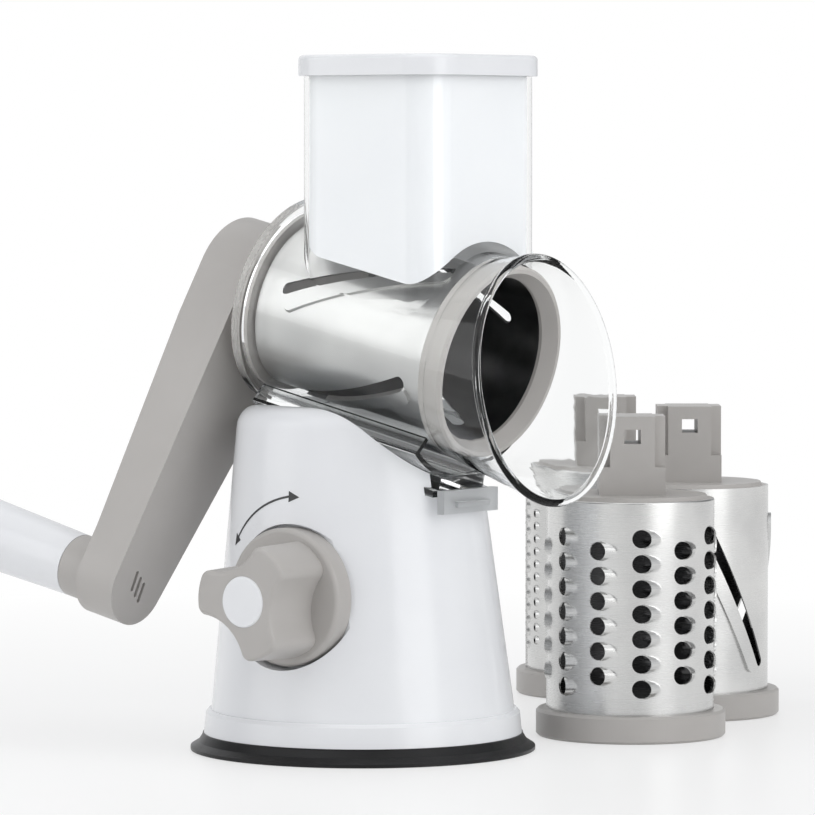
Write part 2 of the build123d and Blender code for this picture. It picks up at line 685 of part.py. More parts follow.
# ---- crank, drawn in the crank frame with the arm along x ----
def arm_outline(inset):
    """Tapered outline round the hub and the grip's end."""
    hub = Circle(HUB_R - inset)
    end = Pos(CRANK_R, 0) * Circle(ARM_END_R - inset)
    return make_hull((hub + end).edges())


def arm_form(inset, low, high):
    """Prism of the arm's outline between two heights."""
    return Pos(0, 0, low) * extrude(arm_outline(inset), high - low)


def back_slope(inset):
    """Wedge that thins the arm from the hub's back to the end."""
    hub_back = HUB_OUT + inset
    end_back = ARM_S_END + inset
    reach = CRANK_R + 2 * ARM_END_R
    below = hub_back - ARM_T_HUB
    points = [(HUB_R, hub_back), (CRANK_R - ARM_END_R, end_back), (reach, end_back), (reach, below), (HUB_R, below)]
    face = make_face(Polyline(*[(x, -2 * HUB_R, s) for x, s in points], close=True))
    return extrude(face, 4 * HUB_R, dir=(0, 1, 0))


def hub_core():
    """Flange that turns in the housing's rear wall, its sleeve, the stem's socket and its ribs."""
    start = SOCKET_END - SOCKET_END_T
    root = ARM_S - SLEEVE_ROOT
    face = ARM_S - COVER_T
    reach = HUB_R - ARM_WALL / 2
    core = rod(SLEEVE_R, root, WALL_OUT) + rod(FLANGE_R, WALL_OUT, DISC_REAR - SEAT_GAP)
    core += block((-SOCKET_HALF, -SOCKET_HALF, start), (SOCKET_HALF, SOCKET_HALF, root))
    core += block((-RIB_T / 2, -reach, start), (RIB_T / 2, reach, face))
    core += block((0, -RIB_T / 2, start), (CRANK_R - STUB_R / 2, RIB_T / 2, face))
    square = extrude(Rectangle(STEM_W + 2 * LOOSE_FIT, STEM_W + 2 * LOOSE_FIT), 2 * STEM_LEN)
    core -= Pos(0, 0, STEM_REAR + NOTCHED_LEN - SEAT_GAP) * square
    return core - Pos(0, 0, SOCKET_END) * extrude(stem_section(LOOSE_FIT), 2 * STEM_LEN)


def crank_arm():
    """Hollow arm, open towards the housing, with the hub's core and the grip's stub."""
    arm = arm_form(0, HUB_OUT, ARM_S) - back_slope(0)
    arm -= arm_form(ARM_WALL, HUB_OUT + ARM_WALL, ARM_S) - back_slope(ARM_WALL)
    arm += hub_core()
    arm += Pos(CRANK_R, 0, 0) * rod(STUB_R, ARM_S_END - STUB_LEN, ARM_S - COVER_T)
    arm -= Pos(CRANK_R, 0, 0) * rod(SPINDLE_R, ARM_S_END - STUB_LEN, ARM_S - SPINDLE_SEAT)
    arm -= Pos(-BUTTON_OFFSET, 0, 0) * rod(BUTTON_R + LOOSE_FIT, HUB_OUT, HUB_OUT + ARM_WALL)
    slot = Pos(0, 0, WINDOW_S) * Box(4 * SOCKET_HALF, PAWL_W + 2 * LOOSE_FIT, PAWL_T + 2 * LOOSE_FIT)
    return arm - (slot & block((-HUB_R + ARM_WALL, -SOCKET_HALF, HUB_OUT), (0, SOCKET_HALF, ARM_S)))


def crank_cover():
    """Flat plate that closes the arm, with three slanted slots near the grip's end."""
    plate = Pos(0, 0, ARM_S - COVER_T) * extrude(arm_outline(ARM_WALL), COVER_T)
    plate -= rod(SLEEVE_R, ARM_S - COVER_T, ARM_S)
    for i in (-1, 0, 1):
        slot = extrude(SlotOverall(VENT_LEN, VENT_W), 2 * COVER_T)
        plate -= Location((CRANK_R + VENT_STEP * i, VENT_PITCH * i, ARM_S - 1.5 * COVER_T), (0, 0, VENT_LEAN)) * slot
    return plate


def side_wedge(points):
    """Prism across the catch's width, from (distance below the axis, height) points."""
    face = make_face(Polyline(*[(-x, -PAWL_W / 2, s) for x, s in points], close=True))
    return extrude(face, PAWL_W, dir=(0, 1, 0))


def release_button():
    """Round button on the hub's back, with its spring's pocket and the wedge that lifts the catch."""
    cap = rod(BUTTON_R, HUB_OUT - BUTTON_PROUD, BUTTON_UNDER)
    cap = fillet(cap.edges().sort_by(Axis.Z)[0], BUTTON_ROUND)
    cap -= rod(SPRING_R + LOOSE_FIT, BUTTON_UNDER - BUTTON_POCKET, BUTTON_UNDER)
    cap = Pos(-BUTTON_OFFSET, 0, 0) * cap
    return cap + side_wedge([(RAMP_NEAR, WEDGE_TIP), (RAMP_FAR, WEDGE_TIP - BUTTON_TRAVEL),
                             (RAMP_FAR, BUTTON_UNDER - BUTTON_SEAT), (RAMP_NEAR, BUTTON_UNDER - BUTTON_SEAT)])


def latch_pawl():
    """Catch that drops into the stem's window, with the ramp that the button's wedge pushes."""
    tip = STEM_W / 2 - PAWL_BITE
    bar = block((-RAMP_FAR, -PAWL_W / 2, PAWL_LOW), (-tip, PAWL_W / 2, PAWL_LOW + PAWL_T))
    ramp_top = WEDGE_TIP + RAMP_GAP
    return bar + side_wedge([(RAMP_NEAR, PAWL_LOW), (RAMP_FAR, PAWL_LOW),
                             (RAMP_FAR, ramp_top - BUTTON_TRAVEL), (RAMP_NEAR, ramp_top)])


def button_spring():
    """Return spring on the socket's end, drawn as its sleeve at its pressed length."""
    low = BUTTON_UNDER - BUTTON_POCKET + BUTTON_TRAVEL + SEAT_GAP
    return Pos(-BUTTON_OFFSET, 0, 0) * ring(SPRING_R, SPRING_R - SPRING_WIRE, low, SOCKET_END - SOCKET_END_T)


def grip_start():
    return ARM_S_END - STUB_LEN - SEAT_GAP


def grip():
    """Tapered white handle that turns on its spindle."""
    start = grip_start()
    end = start - GRIP_LEN
    body = Pos(0, 0, end) * Cone(GRIP_R_END, STUB_R, GRIP_LEN, align=UP)
    body = fillet(body.edges().sort_by(Axis.Z)[0], GRIP_ROUND)
    head_seat = start - SPINDLE_LEN
    body -= rod(SPINDLE_R + RUN_FIT, head_seat, start)
    body -= rod(GRIP_PLUG_R, end, head_seat)
    return Pos(CRANK_R, 0, 0) * body


def grip_spindle():
    """Shouldered steel pin pressed into the arm."""
    start = grip_start()
    head_top = start - SPINDLE_LEN - SEAT_GAP
    pin = rod(SPINDLE_R, head_top, ARM_S - SPINDLE_SEAT) + rod(SPINDLE_HEAD_R, head_top - SPINDLE_HEAD_T, head_top)
    return Pos(CRANK_R, 0, 0) * pin


def grip_plug():
    end = grip_start() - GRIP_LEN
    return Pos(CRANK_R, 0, 0) * rod(GRIP_PLUG_R, end, end + GRIP_PLUG_T)


# ---- every node and the piece it holds ----
def drum_nodes(name, shell, place=None):
    """Shell, collar and end plate of one drum, on the crank or standing at a place."""
    put = crank_placed if place is None else (lambda shape: stand(shape, place))
    return {
        f"{name}_shell": put(shell),
        f"{name}_collar": put(drum_collar()),
        f"{name}_end_plate": put(end_plate()),
    }


def all_nodes():
    nodes = {
        "suction_foot": suction_foot(),
        "base_plate": base_plate(),
        "base_screws": base_screws(),
        "base_skirt": base_skirt(),
        "base_body": base_body(),
        "cam_bracket": cam_bracket(),
        "lift_stem": lift_stem(),
        "cam_shaft": cam_shaft(),
        "shaft_clip": shaft_clip(),
        "lock_knob": lock_knob(),
        "knob_screw": knob_screw(),
        "knob_cap": knob_cap(),
        "feed_housing": feed_housing(),
        "housing_latch": housing_latch(),
        "pusher": pusher(),
        "crank_arm": crank_placed(crank_arm()),
        "crank_cover": crank_placed(crank_cover()),
        "release_button": crank_placed(release_button()),
        "latch_pawl": crank_placed(latch_pawl()),
        "button_spring": crank_placed(button_spring()),
        "grip_spindle": crank_placed(grip_spindle()),
        "grip": crank_placed(grip()),
        "grip_plug": crank_placed(grip_plug()),
    }
    nodes.update(drum_nodes("drum", slicer_shell(SLOT_PHASE)))
    nodes.update(drum_nodes("spare_coarse", coarse_shell(), COARSE_AT))
    nodes.update(drum_nodes("spare_fine", fine_shell(), FINE_AT))
    nodes.update(drum_nodes("spare_slicer", slicer_shell(SPARE_SLOT_PHASE), SLICER_AT))
    return nodes


def main():
    os.makedirs("parts", exist_ok=True)
    for name, piece in all_nodes().items():
        solids = piece if isinstance(piece, list) else piece.solids()
        shape = solids[0] if len(solids) == 1 else Compound(children=list(solids))
        export_step(shape, f"parts/{name}.step")


if __name__ == "__main__":
    main()
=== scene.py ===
# %% [markdown]
# # A hand-cranked drum shredder
# A kitchen tool on a suction foot: a white base, a clear feed housing with a slotted steel drum
# in it, a grey crank, and three more drums on the table beside it.
# The CAD model gives every rigid piece its shape and its place. This script dresses it: plastics,
# brushed steel, rubber, and the small things that a mould or a press leaves behind.
# The frame is loaded first, because every piece that is added later rides on one of its bodies.

# %% Load the frame
from math import cos, degrees, pi, radians, sin, sqrt, tan

import bmesh
import bpy
from mathutils import Matrix, Vector


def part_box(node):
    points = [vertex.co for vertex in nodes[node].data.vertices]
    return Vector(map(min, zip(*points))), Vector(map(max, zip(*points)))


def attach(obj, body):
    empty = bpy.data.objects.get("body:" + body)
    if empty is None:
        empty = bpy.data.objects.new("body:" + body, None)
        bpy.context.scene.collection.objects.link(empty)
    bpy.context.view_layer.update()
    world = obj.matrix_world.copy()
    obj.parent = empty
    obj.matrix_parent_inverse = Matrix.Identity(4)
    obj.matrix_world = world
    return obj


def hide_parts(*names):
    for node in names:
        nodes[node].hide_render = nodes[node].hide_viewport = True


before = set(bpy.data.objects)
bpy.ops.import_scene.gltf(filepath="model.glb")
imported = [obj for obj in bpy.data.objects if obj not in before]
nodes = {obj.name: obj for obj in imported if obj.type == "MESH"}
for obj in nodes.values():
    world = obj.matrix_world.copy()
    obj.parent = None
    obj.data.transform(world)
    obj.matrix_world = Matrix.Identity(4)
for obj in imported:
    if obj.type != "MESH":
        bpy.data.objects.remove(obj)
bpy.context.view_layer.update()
MM = 0.001

# %% [markdown]
# ## The camera
# The photograph was taken from far away with a long lens, a little above the table, so upright
# edges stay upright. A camera can be placed by eye, or fitted to edges that were measured in the
# photograph. It was fitted here, because the sizes were read from the photograph through it.
# It looks at a point near the middle of the whole group.

# %% Camera
AZIMUTH = radians(37.27)
ELEVATION = radians(2.92)
DISTANCE = 2116.86 * MM
FOCAL_PIXELS = 5081.66
FRAME_PIXELS = 815
SENSOR = 36.0  # mm
ASIDE = 18.61 * MM
AIM_HEIGHT = 142.30 * MM
FARTHEST = 20  # metres that the camera sees

to_the_right = Vector((cos(AZIMUTH), sin(AZIMUTH), 0))
towards_camera = Vector((sin(AZIMUTH) * cos(ELEVATION), -cos(AZIMUTH) * cos(ELEVATION), sin(ELEVATION)))
aim = to_the_right * ASIDE + Vector((0, 0, AIM_HEIGHT))

camera = bpy.data.objects.new("camera", bpy.data.cameras.new("camera"))
camera.data.sensor_width = SENSOR
camera.data.lens = FOCAL_PIXELS * SENSOR / FRAME_PIXELS
camera.data.clip_end = FARTHEST
camera.location = aim + towards_camera * DISTANCE
camera.rotation_euler = (-towards_camera).to_track_quat("-Z", "Y").to_euler()
bpy.context.scene.collection.objects.link(camera)
bpy.context.scene.camera = camera
print("camera:", round(camera.data.lens, 1), "mm lens,", round(DISTANCE, 2), "m away")

# %% [markdown]
# ## The tent
# The photograph has a white background and soft light from all sides, as in a light tent. An even
# white world would do for plastic. Polished steel only looks like steel when it has something to
# mirror, so the tent's walls have darker gaps between their bright panels. They face the object
# from all sides and hardly change its light.

# %% World and view
scene = bpy.context.scene
scene.view_settings.view_transform = "Standard"
world = bpy.data.worlds.new("tent")
scene.world = world
world.use_nodes = True
world_tree = world.node_tree
world_tree.nodes.clear()
print("world:", world.name, "in the", scene.view_settings.view_transform, "view")


# %% The tent's walls
def math_node(tree, operation, first, second=None):
    """A Math node fed by two sockets or numbers."""
    node = tree.nodes.new("ShaderNodeMath")
    node.operation = operation
    for socket, value in zip(node.inputs, (first, second)):
        if isinstance(value, (int, float)):
            socket.default_value = value
        elif value is not None:
            tree.links.new(value, socket)
    return node.outputs[0]


ROOM_LEVEL = 0.56
GAP_DEPTH = 0.34  # how much darker a gap is than the middle level
PANELS = 3
ROOM_TINT = (0.975, 0.985, 1.0, 1)
direction = world_tree.nodes.new("ShaderNodeTexCoord")
parts = world_tree.nodes.new("ShaderNodeSeparateXYZ")
world_tree.links.new(direction.outputs["Generated"], parts.inputs[0])
around = math_node(world_tree, "ARCTAN2", parts.outputs["Y"], parts.outputs["X"])
wave = math_node(world_tree, "SINE", math_node(world_tree, "MULTIPLY_ADD", around, PANELS))
wall_level = math_node(world_tree, "MULTIPLY_ADD", wave, GAP_DEPTH)
wall_level.node.inputs[2].default_value = ROOM_LEVEL
room = world_tree.nodes.new("ShaderNodeBackground")
room.inputs["Color"].default_value = ROOM_TINT
world_tree.links.new(wall_level, room.inputs["Strength"])
print("tent:", PANELS, "bright panels round a level of", ROOM_LEVEL)

# %% [markdown]
# The camera, and rays that pass through clear plastic, see plain white instead of the panels.
# That keeps the background white without putting more light on the object. Mirrored rays still
# see the panels, for the steel's sake.

# %% White behind the object
WHITE = (1, 1, 1, 1)
white = world_tree.nodes.new("ShaderNodeBackground")
white.inputs["Color"].default_value = WHITE
path = world_tree.nodes.new("ShaderNodeLightPath")
world_mix = world_tree.nodes.new("ShaderNodeMixShader")
world_out = world_tree.nodes.new("ShaderNodeOutputWorld")
seen = math_node(world_tree, "MAXIMUM", path.outputs["Is Camera Ray"], path.outputs["Is Transmission Ray"])
world_tree.links.new(seen, world_mix.inputs["Fac"])
world_tree.links.new(room.outputs[0], world_mix.inputs[1])
world_tree.links.new(white.outputs[0], world_mix.inputs[2])
world_tree.links.new(world_mix.outputs[0], world_out.inputs["Surface"])
print("behind the object: white for the camera and through clear plastic")

# %% [markdown]
# ## The lamps
# Small lamps throw hard shadows, which the photograph doesn't have. So one big soft lamp hangs
# above, and two stand at the sides. Of those two the right one is the stronger, because the
# photograph's whites are brightest there.


# %% Lamps
def soft_lamp(name, place, toward, size, power):
    lamp = bpy.data.lights.new(name, "AREA")
    lamp.shape = "RECTANGLE"
    lamp.size, lamp.size_y = size
    lamp.energy = power
    thing = bpy.data.objects.new(name, lamp)
    thing.location = place
    thing.rotation_euler = (Vector(toward) - Vector(place)).to_track_quat("-Z", "Y").to_euler()
    scene.collection.objects.link(thing)
    return thing


MIDDLE = (0, 0, 0.14)
soft_lamp("lamp_above", place=(0.1, -0.2, 1.3), toward=MIDDLE, size=(1.9, 1.9), power=7.5)
soft_lamp("lamp_left", place=(-0.9, -1.1, 0.6), toward=MIDDLE, size=(0.9, 1.1), power=3.6)
soft_lamp("lamp_right", place=(1.5, -0.2, 0.55), toward=MIDDLE, size=(0.9, 1.1), power=6.5)

# %% [markdown]
# ## The table
# The object stands on a white table that has no edge in the photograph. A floor that only glows
# would lose the shadow, and one that only reflects would turn grey far away. So the two are
# mixed: close to the object the floor keeps its shadow, and further out it fades to plain white.

# %% Floor
FLOOR_SIZE = 12  # metres
FLOOR_DROP = 0.0002  # metres, so that the floor and the foot's underside don't share a plane
floor_mesh = bmesh.new()
bmesh.ops.create_grid(floor_mesh, x_segments=2, y_segments=2, size=FLOOR_SIZE / 2)
floor = bpy.data.objects.new("floor", bpy.data.meshes.new("floor"))
floor_mesh.to_mesh(floor.data)
floor_mesh.free()
scene.collection.objects.link(floor)
floor.location.z = -FLOOR_DROP
print("floor:", FLOOR_SIZE, "m across")

# %% Finish of the table
PLAIN_WHITE = 0.55  # share of the table that is plain white close to the object
FADE_FROM, FADE_TO = 0.25, 0.75  # metres from the object, over which the table turns plain white
TABLE_COLOUR = (0.93, 0.93, 0.93, 1)
TABLE_ROUGHNESS = 0.35
floor_finish = bpy.data.materials.new("white_table")
floor_finish.use_nodes = True
floor_tree = floor_finish.node_tree
table = floor_tree.nodes["Principled BSDF"]
table.inputs["Base Color"].default_value = TABLE_COLOUR
table.inputs["Roughness"].default_value = TABLE_ROUGHNESS
glow = floor_tree.nodes.new("ShaderNodeEmission")
blend = floor_tree.nodes.new("ShaderNodeMixShader")
where = floor_tree.nodes.new("ShaderNodeNewGeometry")
reach = floor_tree.nodes.new("ShaderNodeVectorMath")
reach.operation = "LENGTH"
fade = floor_tree.nodes.new("ShaderNodeMapRange")
fade.inputs["From Min"].default_value = FADE_FROM
fade.inputs["From Max"].default_value = FADE_TO
fade.inputs["To Min"].default_value = PLAIN_WHITE
path = floor_tree.nodes.new("ShaderNodeLightPath")
floor_tree.links.new(where.outputs["Position"], reach.inputs[0])
floor_tree.links.new(reach.outputs["Value"], fade.inputs["Value"])
seen = math_node(floor_tree, "MAXIMUM", path.outputs["Is Camera Ray"], path.outputs["Is Glossy Ray"])
seen = math_node(floor_tree, "MAXIMUM", seen, path.outputs["Is Transmission Ray"])
floor_tree.links.new(math_node(floor_tree, "MULTIPLY", seen, fade.outputs["Result"]), blend.inputs["Fac"])
floor_tree.links.new(table.outputs[0], blend.inputs[1])
floor_tree.links.new(glow.outputs[0], blend.inputs[2])
floor_tree.links.new(blend.outputs[0], floor_tree.nodes["Material Output"].inputs["Surface"])
floor.data.materials.append(floor_finish)
print("table: plain white from", FADE_TO, "m on")

# %% [markdown]
# ## Finishes
# A moulded or drawn surface is never one flat colour. Every finish therefore starts from the same
# few steps: two close tones that change slowly over the piece, a roughness that wanders between
# two values, and a fine bump. A painted texture would need the piece to be unwrapped; noise in
# the piece's own coordinates fits any shape, and moves with the piece.


# %% Helpers for a finish
PLAIN_ROUGHNESS = 0.4  # for a finish with no noise on its roughness


def new_finish(name, **sockets):
    """A material with its shader's own sockets set; more nodes are added by the caller."""
    finish = bpy.data.materials.new(name)
    finish.use_nodes = True
    shader = finish.node_tree.nodes["Principled BSDF"]
    shader.inputs["Roughness"].default_value = PLAIN_ROUGHNESS
    for socket, value in sockets.items():
        shader.inputs[socket.replace("_", " ")].default_value = value
    return finish, finish.node_tree, shader


def object_noise(tree, scale, detail=3.0, stretch=(1, 1, 1), turn=(0, 0, 0)):
    """Noise in the piece's own coordinates, turned first and then stretched."""
    coords = tree.nodes.new("ShaderNodeTexCoord")
    turned = tree.nodes.new("ShaderNodeMapping")
    turned.inputs["Rotation"].default_value = turn
    mapping = tree.nodes.new("ShaderNodeMapping")
    mapping.inputs["Scale"].default_value = stretch
    noise = tree.nodes.new("ShaderNodeTexNoise")
    noise.inputs["Scale"].default_value = scale
    noise.inputs["Detail"].default_value = detail
    tree.links.new(coords.outputs["Object"], turned.inputs["Vector"])
    tree.links.new(turned.outputs["Vector"], mapping.inputs["Vector"])
    tree.links.new(mapping.outputs["Vector"], noise.inputs["Vector"])
    return noise


TONE_SPAN = (0.35, 0.65)  # the noise values at which the two tones are reached


def two_tones(tree, source, tones, socket):
    """Colours between two tones, by a noise."""
    ramp = tree.nodes.new("ShaderNodeValToRGB")
    for element, place, tone in zip(ramp.color_ramp.elements, TONE_SPAN, tones):
        element.position = place
        element.color = (*tone, 1)
    tree.links.new(source.outputs["Fac"], ramp.inputs["Fac"])
    tree.links.new(ramp.outputs["Color"], socket)


def spread(tree, source, limits, socket):
    """Numbers between two limits, by a noise."""
    span = tree.nodes.new("ShaderNodeMapRange")
    span.inputs["To Min"].default_value, span.inputs["To Max"].default_value = limits
    tree.links.new(source.outputs["Fac"], span.inputs["Value"])
    tree.links.new(span.outputs["Result"], socket)


def fine_bump(tree, source, shader, depth):
    """A bump of this depth in metres, by a noise."""
    bump = tree.nodes.new("ShaderNodeBump")
    bump.inputs["Distance"].default_value = depth
    bump.inputs["Strength"].default_value = 1.0
    tree.links.new(source.outputs["Fac"], bump.inputs["Height"])
    tree.links.new(bump.outputs["Normal"], shader.inputs["Normal"])


def moulded_finish(name, tones, tone_scale, roughness, roughness_scale, bump, bump_scale, **sockets):
    """The usual finish: two tones, a wandering roughness and a fine bump, each by its own noise."""
    finish, tree, shader = new_finish(name, **sockets)
    two_tones(tree, object_noise(tree, tone_scale), tones, shader.inputs["Base Color"])
    spread(tree, object_noise(tree, roughness_scale), roughness, shader.inputs["Roughness"])
    fine_bump(tree, object_noise(tree, bump_scale), shader, bump)
    print("made", finish.name)
    return finish


# %% [markdown]
# The base, its skirt, the pusher, the knob's cap and the grip are glossy white plastic. Its white
# is a shade below full white and slightly blue, so that its lit side doesn't clip and its shaded
# side goes cool, as in the photograph.

# %% White plastic
white_plastic = moulded_finish(
    "gloss_white_plastic", IOR=1.5,
    tones=((0.81, 0.82, 0.845), (0.84, 0.85, 0.87)), tone_scale=18,
    roughness=(0.16, 0.24), roughness_scale=60,
    bump=0.00002, bump_scale=900)

# %% [markdown]
# The crank, the knob and the drums' collars and end plates are a warm grey with a satin skin. A
# fine spark-eroded mould gives that skin, so the bump is small, dense and twice as deep as on
# the white.

# %% Grey plastic
grey_plastic = moulded_finish(
    "satin_grey_plastic", IOR=1.5,
    tones=((0.445, 0.427, 0.41), (0.47, 0.452, 0.435)), tone_scale=25,
    roughness=(0.34, 0.42), roughness_scale=80,
    bump=0.00004, bump_scale=2500)

# %% [markdown]
# The feed housing is clear plastic. Cycles gives clear pieces a dark shadow unless light may pass,
# so shadow rays go straight through a tinted Transparent shader, while all other rays see the
# real refraction. Its index of refraction is lower than the real one's: the thick rims would
# otherwise turn nearly black against the white background, which they don't in the photograph.


# %% Clear plastic
def let_light_through(finish, tint):
    """A shadow ray goes straight through the piece, only tinted."""
    tree = finish.node_tree
    lamp_path = tree.nodes.new("ShaderNodeLightPath")
    open_air = tree.nodes.new("ShaderNodeBsdfTransparent")
    open_air.inputs["Color"].default_value = (*tint, 1)
    lets_light = tree.nodes.new("ShaderNodeMixShader")
    tree.links.new(lamp_path.outputs["Is Shadow Ray"], lets_light.inputs["Fac"])
    tree.links.new(tree.nodes["Principled BSDF"].outputs[0], lets_light.inputs[1])
    tree.links.new(open_air.outputs[0], lets_light.inputs[2])
    tree.links.new(lets_light.outputs[0], tree.nodes["Material Output"].inputs["Surface"])


clear_plastic = moulded_finish(
    "clear_plastic", IOR=1.28, Transmission_Weight=1.0,
    tones=((0.965, 0.975, 0.975), (0.98, 0.985, 0.985)), tone_scale=10,
    roughness=(0.015, 0.045), roughness_scale=40,
    bump=0.000004, bump_scale=90)
let_light_through(clear_plastic, tint=(0.93, 0.94, 0.94))

# %% [markdown]
# The press tab below the housing's mouth is clear too, but in the photograph it looks like an
# even mid grey. The refraction of so small a piece would be black and white specks, so half of
# its light is scattered instead, and its skin is rough.

# %% Frosted plastic of the press tab
frosted_plastic = moulded_finish(
    "frosted_plastic", IOR=1.3, Transmission_Weight=0.5,
    tones=((0.56, 0.57, 0.58), (0.62, 0.63, 0.64)), tone_scale=20,
    roughness=(0.3, 0.4), roughness_scale=60,
    bump=0.00002, bump_scale=900)
let_light_through(frosted_plastic, tint=(0.8, 0.8, 0.8))

# %% [markdown]
# The suction foot is black rubber. Black plastic with a rough skin would look grey where light
# grazes it, so the index of refraction is low, which weakens that sheen.

# %% Rubber
rubber = moulded_finish(
    "black_rubber", IOR=1.36,
    tones=((0.004, 0.004, 0.0045), (0.009, 0.009, 0.01)), tone_scale=40,
    roughness=(0.3, 0.42), roughness_scale=120,
    bump=0.00008, bump_scale=1500)

# %% [markdown]
# The release button is glossy black plastic. It has the same steps as the white plastic, and only
# its tones and its grain differ.

# %% Black button plastic
black_plastic = moulded_finish(
    "gloss_black_plastic", IOR=1.5,
    tones=((0.012, 0.012, 0.012), (0.02, 0.02, 0.021)), tone_scale=40,
    roughness=(0.14, 0.24), roughness_scale=90,
    bump=0.00003, bump_scale=1200)

# %% [markdown]
# Screws, clip, spring and spindle are plain turned or drawn steel, of which hardly anything
# shows. The usual steps with a metallic shader are enough.

# %% Plain steel
steel = moulded_finish(
    "plain_steel", Metallic=1.0,
    tones=((0.50, 0.50, 0.50), (0.60, 0.60, 0.59)), tone_scale=50,
    roughness=(0.22, 0.36), roughness_scale=150,
    bump=0.00003, bump_scale=800)

# %% [markdown]
# ## Brushed steel
# The sheet of a drum is brushed before it is rolled. Its inner side lies in shade, and that shade is
# painted into its colour as dark tones. An image of brushed metal would need unwrapping, and would show a
# joint. Instead each drum gets the finish with its own axis in it: noise that is stretched into lines round
# that axis, and the dark tones of painted shade on every surface that looks at the axis.

# %% The inner side in painted shade
FACING_LIMIT = -0.01  # metres; the inner side gives about -0.035, and a punched edge about 0


def faces_axis(tree, turn, shift):
    """1 where a surface looks at the drum's axis, which turn and shift bring onto the Z axis."""
    coords = tree.nodes.new("ShaderNodeTexCoord")
    place = tree.nodes.new("ShaderNodeMapping")
    place.inputs["Rotation"].default_value = turn
    place.inputs["Location"].default_value = shift
    facing = tree.nodes.new("ShaderNodeMapping")
    facing.vector_type = "VECTOR"
    facing.inputs["Rotation"].default_value = turn
    outward = tree.nodes.new("ShaderNodeVectorMath")
    outward.operation = "MULTIPLY"
    outward.inputs[1].default_value = (1, 1, 0)
    across = tree.nodes.new("ShaderNodeVectorMath")
    across.operation = "DOT_PRODUCT"
    tree.links.new(coords.outputs["Object"], place.inputs["Vector"])
    tree.links.new(coords.outputs["Normal"], facing.inputs["Vector"])
    tree.links.new(place.outputs["Vector"], outward.inputs[0])
    tree.links.new(outward.outputs["Vector"], across.inputs[0])
    tree.links.new(facing.outputs["Vector"], across.inputs[1])
    return math_node(tree, "LESS_THAN", across.outputs["Value"], FACING_LIMIT)


# the dark tones on the side that looks at the axis are painted shade
print("dull where the way out from the axis, taken along the normal, is under", FACING_LIMIT, "m")

# %% The finish
BRIGHT_TONES = ((0.60, 0.60, 0.595), (0.70, 0.70, 0.69))
# painted shade: the drum's inner side is darkened to these tones
INNER_SHADE_TONES = ((0.07, 0.07, 0.072), (0.13, 0.13, 0.132))
PULL = 0.4  # how far the grain draws a highlight out across it
GRAIN = (0.6, 0.6, 30)  # noise is squeezed along the axis, which leaves lines round it
GRAIN_SCALE, GRAIN_DEPTH = 40, 0.000006
OUTER_CLOUDS, INNER_CLOUDS = 30, 45  # scales of the slow changes of tone


def brushed_finish(name, turn, shift, roughness=(0.23, 0.31), shade=1.0):
    """Steel with grain lines round an axis and painted shade on its inner side; shade darkens the outer
    side as painted shade.
    """
    finish, tree, shader = new_finish(name, Metallic=1.0, Anisotropic=PULL)
    sides = tree.nodes.new("ShaderNodeMix")
    sides.data_type = "RGBA"
    factor, outer, inner = sides.inputs["Factor"], sides.inputs[6], sides.inputs[7]
    shaded_tones = [[level * shade for level in tone] for tone in BRIGHT_TONES]
    two_tones(tree, object_noise(tree, OUTER_CLOUDS, detail=4), shaded_tones, outer)
    two_tones(tree, object_noise(tree, INNER_CLOUDS, detail=4), INNER_SHADE_TONES, inner)
    tree.links.new(faces_axis(tree, turn, shift), factor)
    tree.links.new(sides.outputs[2], shader.inputs["Base Color"])
    grain = object_noise(tree, GRAIN_SCALE, detail=6, stretch=GRAIN, turn=turn)
    spread(tree, grain, roughness, shader.inputs["Roughness"])
    fine_bump(tree, grain, shader, GRAIN_DEPTH)
    return finish


print("grain lines are", round(GRAIN[2] / GRAIN[0]), "times as long as they are wide")

# %% [markdown]
# The loose drums stand upright, so their axes need no turn. The drum in the machine lies tilted towards its
# mouth. In the photograph it has a wider and softer highlight than the loose ones, so its finish is
# rougher, and its steel is a darker copy of the loose drums' steel: painted shade that tones its highlight
# down.

# %% One finish for each drum
TILT = radians(13)
AXIS_Z = 179 * MM  # height of the machine's drum axis over the frame's origin
TO_Z = pi / 2 - TILT
DRUM_ROUGHNESS = (0.33, 0.38)
# painted shade: the machine drum's outer tones are darkened by this factor
DRUM_PAINTED_SHADE = 0.86
brushed_steel = {}
for name in ("spare_coarse", "spare_fine", "spare_slicer"):
    low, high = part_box(f"{name}_shell")
    to_axis = (-(low.x + high.x) / 2, -(low.y + high.y) / 2, 0)
    brushed_steel[name] = brushed_finish(f"steel_of_{name}", (0, 0, 0), to_axis)
to_axis = (-AXIS_Z * sin(TO_Z), 0, 0)
brushed_steel["drum"] = brushed_finish("steel_of_drum", (0, TO_Z, 0), to_axis, DRUM_ROUGHNESS, DRUM_PAINTED_SHADE)
print("made", [finish.name for finish in brushed_steel.values()])

# %% [markdown]
# ## Dress the CAD pieces
# Each CAD piece keeps its shape, and gets a finish by what it is made of. The CAD materials'
# names say that already, so a table from those names to the finishes does for all pieces but
# the drums' shells and the press tab.

# %% Assign the finishes
FINISH_OF = {
    "black_rubber": rubber,
    "white_plastic": white_plastic,
    "grey_plastic": grey_plastic,
    "clear_plastic": clear_plastic,
    "black_plastic": black_plastic,
    "steel": steel,
}
for name, piece in nodes.items():
    for place in piece.material_slots:
        if name.endswith("_shell"):
            place.material = brushed_steel[name.removesuffix("_shell")]
        elif name == "housing_latch":
            place.material = frosted_plastic
        else:
            place.material = FINISH_OF[place.material.name.split(".")[0]]
print("dressed", len(nodes), "pieces")
